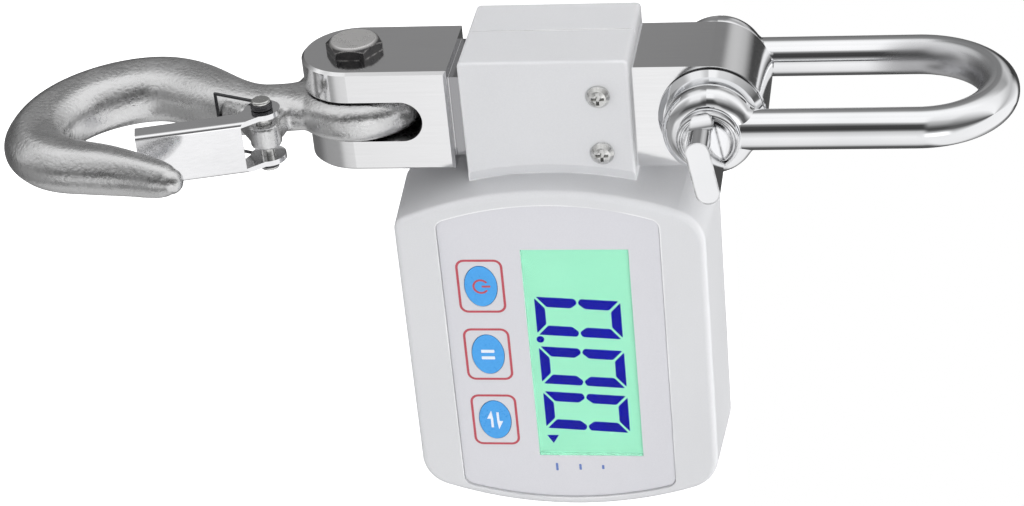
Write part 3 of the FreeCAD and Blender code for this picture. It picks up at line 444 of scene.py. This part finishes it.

# Clevis bolt. A low round-topped hexagon head, blackened and oiled, its
# top painted light grey as the lit face; the shank is screwed into the far
# prong of the fork.
black_oxide = material("black_oxide", (0.030, 0.030, 0.033), (0.075, 0.072, 0.070), (0.22, 0.42),
                       fine=2500.0, cloud=260.0, metallic=0.75, bump=0.000006)
paint_edge_wear_and_light(black_oxide, (0.42, 0.41, 0.40), 0.0006, 500.0)
# Painted light: the top of the bolt head is painted lighter than its sides.
head_side, head_top = -0.0178, -0.0184
lit_top_paint = black_oxide.node_tree.nodes.new("ShaderNodeMapRange")
lit_top_paint.inputs["From Min"].default_value = head_side
lit_top_paint.inputs["From Max"].default_value = head_top
lit_top_paint.inputs["To Max"].default_value = 0.85
black_oxide.node_tree.links.new(along(black_oxide, "X"), lit_top_paint.inputs["Value"])
overlay(black_oxide, lit_top_paint.outputs[0], (0.78, 0.77, 0.76))
dress(black_oxide, "clevis_bolt")
zinc_plate = material("zinc_plate", (0.62, 0.62, 0.60), (0.76, 0.76, 0.75), (0.16, 0.32),
                      fine=2200.0, cloud=150.0, metallic=1.0, bump=0.000004)
# The screws are coloured lighter along their edges.
paint_edge_wear_and_light(zinc_plate, (0.9, 0.9, 0.9), 0.0003, 600.0)
dress(zinc_plate, "cover_screws", "case_screws", "board_screws")

# Hook. A drop forging with an eye, its shank flowing into the eye and the
# latch lug without a seam; scaled, shot-blasted and zinc plated, so it
# is satin with a rough skin and brighter grains.
rough_copy = bpy.data.objects.new("hook_rough", node["hook"].data.copy())
scene.collection.objects.link(rough_copy)
skin = bmesh.new()
skin.from_mesh(rough_copy.data)
bmesh.ops.remove_doubles(skin, verts=skin.verts, dist=0.000002)
skin.to_mesh(rough_copy.data)
skin.free()
voxels = rough_copy.modifiers.new("forged", "REMESH")
voxels.mode = "VOXEL"
voxels.voxel_size = 0.0006
soften = rough_copy.modifiers.new("flow", "SMOOTH")
soften.factor = 0.5
soften.iterations = 6
bpy.context.view_layer.update()
smoothed = rough_copy.evaluated_get(bpy.context.evaluated_depsgraph_get())
forged = bpy.data.meshes.new_from_object(smoothed)
bpy.data.objects.remove(rough_copy)
forged.materials.clear()
forged.shade_smooth()
hook_forging = bpy.data.objects.new("hook_forging", forged)
scene.collection.objects.link(hook_forging)
blasted_zinc = material("blasted_zinc", (0.62, 0.62, 0.62), (0.80, 0.80, 0.80), (0.20, 0.38),
                        fine=1000.0, cloud=140.0, metallic=1.0, bump=0.00014)
forged.materials.append(blasted_zinc)
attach(hook_forging, "hook")
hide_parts("hook")

# Latch. A channel folded from 1.5 mm polished stainless, open towards the
# bowl, turning on a headed rivet; the wire spring wound on the rivet
# pushes it shut against the hook's tip.
polished_sheet = material("polished_sheet", (0.86, 0.86, 0.87), (0.93, 0.93, 0.94), (0.06, 0.13),
                          fine=1500.0, cloud=40.0, stretch=(1, 1, 0.05), metallic=1.0, bump=0.000002)
# The latch is coloured lighter along its edges.
paint_edge_wear_and_light(polished_sheet, (0.97, 0.97, 0.97), 0.0003, 400.0)
dress(polished_sheet, "latch")
dress(zinc_plate, "latch_pin")
drawn_wire = material("drawn_wire", (0.06, 0.06, 0.065), (0.12, 0.12, 0.125), (0.2, 0.35),
                      fine=3000.0, metallic=1.0, bump=0.000003)
dress(drawn_wire, "latch_spring")

# Display case. Two moulded shells in light grey plastic with a fine spark
# texture, the sleeve halves round the bar moulded with them; a dark seal
# lies in the parting line and the battery door slides in the back.
housing_plastic = material("housing_plastic", (0.61, 0.615, 0.63), (0.66, 0.665, 0.68), (0.36, 0.46),
                           fine=2600.0, cloud=18.0, bump=0.000010)
# Painted highlight: a light line along the case's edges and the panel recess.
paint_edge_wear_and_light(housing_plastic, (0.93, 0.93, 0.94), 0.0008, 60.0)
dress(housing_plastic, "front_shell", "rear_shell", "battery_door")
dress(black_rubber, "case_gasket")

# Front panel. A satin film glued into the shallow recess, printed from
# behind: a red rounded frame round each key and small marks for the
# units beside the display.
panel_film = material("panel_film", (0.60, 0.60, 0.635), (0.65, 0.65, 0.68), (0.30, 0.38),
                      fine=3200.0, cloud=14.0, bump=0.000004, Coat_Weight=0.15)
dress(panel_film, "overlay_panel")
panel_face = -27.3
key_x = (45.4, 67.9, 90.2)
key_z = -136.6


def flat_print(shape, y, thick):
    """Turns shapes drawn in X and Y into thin prints that face -Y."""
    bmesh.ops.rotate(shape, verts=shape.verts, cent=(0, 0, 0),
                     matrix=Matrix.Rotation(math.pi / 2, 3, "X"))
    bmesh.ops.translate(shape, verts=shape.verts, vec=(0, y, 0))
    raised = bmesh.ops.extrude_face_region(shape, geom=shape.faces[:])
    moved = [v for v in raised["geom"] if isinstance(v, bmesh.types.BMVert)]
    bmesh.ops.translate(shape, verts=moved, vec=(0, -thick, 0))
    bmesh.ops.recalc_face_normals(shape, faces=shape.faces[:])
    bmesh.ops.scale(shape, verts=shape.verts, vec=(mm, mm, mm))


def finished(name, shape, made, body):
    """A new piece: its mesh, finish, body and material slot."""
    obj = bpy.data.objects.new(name, bpy.data.meshes.new(name))
    shape.to_mesh(obj.data)
    shape.free()
    obj.data.materials.append(made)
    scene.collection.objects.link(obj)
    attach(obj, body)


def polygon(shape, points, rounding=0.0, steps=3):
    """A flat face with corners rounded where asked."""
    face = shape.faces.new([shape.verts.new((x, z, 0)) for x, z in points])
    if rounding:
        bmesh.ops.bevel(shape, geom=face.verts[:], offset=rounding, segments=steps, profile=0.5,
                        affect="VERTICES", material=-1)


red_ink = material("red_ink", (0.42, 0.06, 0.08), (0.52, 0.09, 0.12), (0.35, 0.45),
                   fine=2500.0, cloud=300.0)
frames = bmesh.new()
half_x, half_z = 8.65, 6.65
for x in key_x:
    polygon(frames, [(x - half_x, key_z - half_z), (x + half_x, key_z - half_z),
                     (x + half_x, key_z + half_z), (x - half_x, key_z + half_z)], 2.5, 6)
inner = frames.faces[:]
bmesh.ops.inset_individual(frames, faces=inner, thickness=0.7)
bmesh.ops.delete(frames, geom=inner, context="FACES")
flat_print(frames, panel_face, 0.04)
finished("key_frames", frames, red_ink, "scale_body")
blue_ink = material("blue_ink", (0.10, 0.16, 0.42), (0.14, 0.22, 0.50), (0.35, 0.45),
                    fine=2500.0, cloud=300.0)
units = bmesh.new()
units_x = 106.5
for z, length in ((-119.9, 2.6), (-113.1, 2.0), (-106.5, 1.4)):
    polygon(units, [(units_x - length / 2, z - 0.35), (units_x + length / 2, z - 0.35),
                    (units_x + length / 2, z + 0.35), (units_x - length / 2, z + 0.35)], 0.2)
flat_print(units, panel_face, 0.04)
finished("unit_marks", units, blue_ink, "scale_body")

# Display. A clear window over the lit glass, which glows mint through its
# light guide; the reading is three seven-segment zeros with a point, in
# dark blue, and a small pointer at the unit in use.
window = material("window_clear", (0.95, 1.0, 0.98), (0.97, 1.0, 0.99), (0.02, 0.05), fine=400.0,
                  Transmission_Weight=1.0, IOR=1.18)
dress(window, "lcd_window")
lit_glass = material("lit_glass", (0.180, 0.425, 0.298), (0.198, 0.452, 0.320), (0.2, 0.3),
                     fine=60.0, cloud=14.0)
lit_nodes = lit_glass.node_tree.nodes
lit_glass.node_tree.links.new(lit_nodes["grain"].outputs["Colour"],
                              lit_nodes["Principled BSDF"].inputs["Emission Color"])
lit_nodes["Principled BSDF"].inputs["Emission Strength"].default_value = 0.9
dress(lit_glass, "lcd_glass")
lcd_ink = material("lcd_ink", (0.001, 0.001, 0.29), (0.002, 0.002, 0.37), (0.3, 0.4), fine=900.0,
                   Specular_IOR_Level=0.1)
glass_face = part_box("lcd_glass")[0][1] / mm
reading = bmesh.new()
stroke, bar_h, gap, tall = 3.2, 2.8, 0.5, 24.1
mid = tall / 2


def zero(x0, z0, wide):
    """Six strokes of a seven-segment 0, leaning a little to the right."""
    strokes = []
    for up in (0, 1):
        for right in (0, 1):
            side = [(0, gap), (0, mid - 0.9), (0.9, mid - gap / 2), (1.7, mid - gap / 2),
                    (stroke, mid - 2.0), (stroke, bar_h + gap)]
            strokes.append([(wide - u if right else u, tall - v if up else v) for u, v in side])
        end = [(gap, 0), (wide - gap, 0), (wide - stroke - gap, bar_h), (stroke + gap, bar_h)]
        strokes.append([(u, tall - v if up else v) for u, v in end])
    for points in strokes:
        polygon(reading, [(x0 + u + v * 0.065, z0 + v) for u, v in points], 0.35, 2)


for x0, wide in ((49.7, 12.5), (66.1, 12.5), (81.3, 12.6)):
    zero(x0, -122.2, wide)
spot = [(63.8 + 1.1 * math.cos(math.radians(a)), -121.5 + 1.1 * math.sin(math.radians(a)))
        for a in range(0, 360, 20)]
polygon(reading, spot)
polygon(reading, [(96.4, -122.2), (99.2, -120.5), (96.4, -118.8)], 0.15)
flat_print(reading, glass_face, 0.05)
finished("lcd_reading", reading, lcd_ink, "scale_body")
guide = material("frosted_guide", (0.80, 0.95, 0.88), (0.88, 1.0, 0.94), (0.35, 0.5), fine=700.0,
                 Transmission_Weight=0.6, IOR=1.49)
dress(guide, "light_guide")
pink_rubber = material("pink_rubber", (0.55, 0.28, 0.26), (0.68, 0.38, 0.36), (0.5, 0.7), fine=5000.0,
                       stretch=(1, 0.02, 0.02), bump=0.00001)
dress(pink_rubber, "contact_strips")
inner_plastic = material("inner_plastic", (0.02, 0.02, 0.022), (0.045, 0.045, 0.05), (0.4, 0.6),
                         fine=2000.0, bump=0.00001)
dress(inner_plastic, "lcd_frame", "tact_switches", "power_plunger", "hold_plunger", "unit_plunger")

# Keys. Three oval caps in blue plastic, lightly polished on top, each with
# a stem onto its switch and a plain printed sign: a power ring, two bars
# for hold and two arrows for changing over.
key_blue = material("key_blue", (0.045, 0.30, 0.72), (0.065, 0.37, 0.80), (0.25, 0.35), fine=1800.0,
                    cloud=80.0, bump=0.000006, Coat_Weight=0.2)
dress(key_blue, "power_key", "hold_key", "unit_key")
white_ink = material("white_ink", (0.72, 0.78, 0.86), (0.80, 0.84, 0.90), (0.35, 0.45), fine=2500.0)
key_face = -27.45
power_sign = bmesh.new()
centre = Vector((key_x[0], key_z, 0))
section = [power_sign.verts.new(centre + Vector((x, 0, 0))) for x in (1.75, 2.35)]
start = power_sign.edges.new(section)
bmesh.ops.rotate(power_sign, verts=section, cent=centre,
                 matrix=Matrix.Rotation(math.radians(125), 3, "Z"))
bmesh.ops.spin(power_sign, geom=[start], cent=centre, axis=(0, 0, 1),
               angle=math.radians(290), steps=28)
polygon(power_sign, [(key_x[0] - 0.3, key_z + 0.3), (key_x[0] + 0.3, key_z + 0.3),
                     (key_x[0] + 0.3, key_z + 2.7), (key_x[0] - 0.3, key_z + 2.7)], 0.1)
flat_print(power_sign, key_face, 0.04)
finished("power_sign", power_sign, red_ink, "power_button")
hold_sign = bmesh.new()
for x in (key_x[1] - 1.1, key_x[1] + 1.1):
    polygon(hold_sign, [(x - 0.5, key_z - 1.9), (x + 0.5, key_z - 1.9),
                        (x + 0.5, key_z + 1.9), (x - 0.5, key_z + 1.9)], 0.2)
flat_print(hold_sign, key_face, 0.04)
finished("hold_sign", hold_sign, white_ink, "hold_button")
unit_sign = bmesh.new()
arrow = ((3.2, 0.9), (0.4, 2.3), (0.4, 1.25), (-2.6, 1.25), (-2.6, 0.55), (0.4, 0.55))
for side in (1, -1):
    polygon(unit_sign, [(key_x[2] + side * x, key_z + side * z) for x, z in arrow])
flat_print(unit_sign, key_face, 0.04)
finished("unit_sign", unit_sign, white_ink, "unit_button")

# Circuit board. Green solder mask with fine tracks under it, carrying the
# switches, the moulded chips, the buzzer and a white cable socket.
board_mask = material("board_mask", (0.010, 0.16, 0.06), (0.020, 0.24, 0.09), (0.2, 0.35),
                      fine=700.0, cloud=60.0)
board_nodes, board_links = board_mask.node_tree.nodes, board_mask.node_tree.links
tracks = board_nodes.new("ShaderNodeTexBrick")
tracks.inputs["Scale"].default_value = 160.0
tracks.inputs["Color1"].default_value = (0.010, 0.15, 0.06, 1)
tracks.inputs["Color2"].default_value = (0.016, 0.20, 0.08, 1)
tracks.inputs["Mortar"].default_value = (0.05, 0.34, 0.14, 1)
tracks.inputs["Mortar Size"].default_value = 0.04
board_place = board_nodes.new("ShaderNodeTexCoord")
board_turn = board_nodes.new("ShaderNodeMapping")
board_turn.inputs["Rotation"].default_value = (math.pi / 2, 0, 0)
board_links.new(board_place.outputs["Object"], board_turn.inputs["Vector"])
board_links.new(board_turn.outputs["Vector"], tracks.inputs["Vector"])
board_links.new(tracks.outputs["Color"], board_nodes["Principled BSDF"].inputs["Base Color"])
dress(board_mask, "circuit_board")
chip_black = material("chip_black", (0.012, 0.012, 0.013), (0.028, 0.028, 0.030), (0.45, 0.65),
                      fine=4000.0, bump=0.000008)
dress(chip_black, "chips", "buzzer")
socket_nylon = material("socket_nylon", (0.66, 0.64, 0.57), (0.74, 0.72, 0.66), (0.35, 0.5), fine=900.0)
dress(socket_nylon, "cable_socket")

# Batteries. Three AA cells in dark shrink sleeves, between nickel plates
# and coned springs; two red leads run from the plate tabs to the board.
cell_sleeve = material("cell_sleeve", (0.03, 0.05, 0.10), (0.05, 0.08, 0.15), (0.2, 0.3),
                       fine=900.0, Coat_Weight=0.3)
dress(cell_sleeve, "batteries")
dull_nickel = material("dull_nickel", (0.50, 0.49, 0.46), (0.62, 0.60, 0.57), (0.22, 0.38),
                       fine=1500.0, cloud=90.0, metallic=1.0, bump=0.000004)
dress(dull_nickel, "battery_springs", "battery_plates")
red_lead = material("red_lead", (0.40, 0.02, 0.02), (0.50, 0.04, 0.03), (0.35, 0.5), fine=1500.0)
dress(red_lead, "battery_wires")
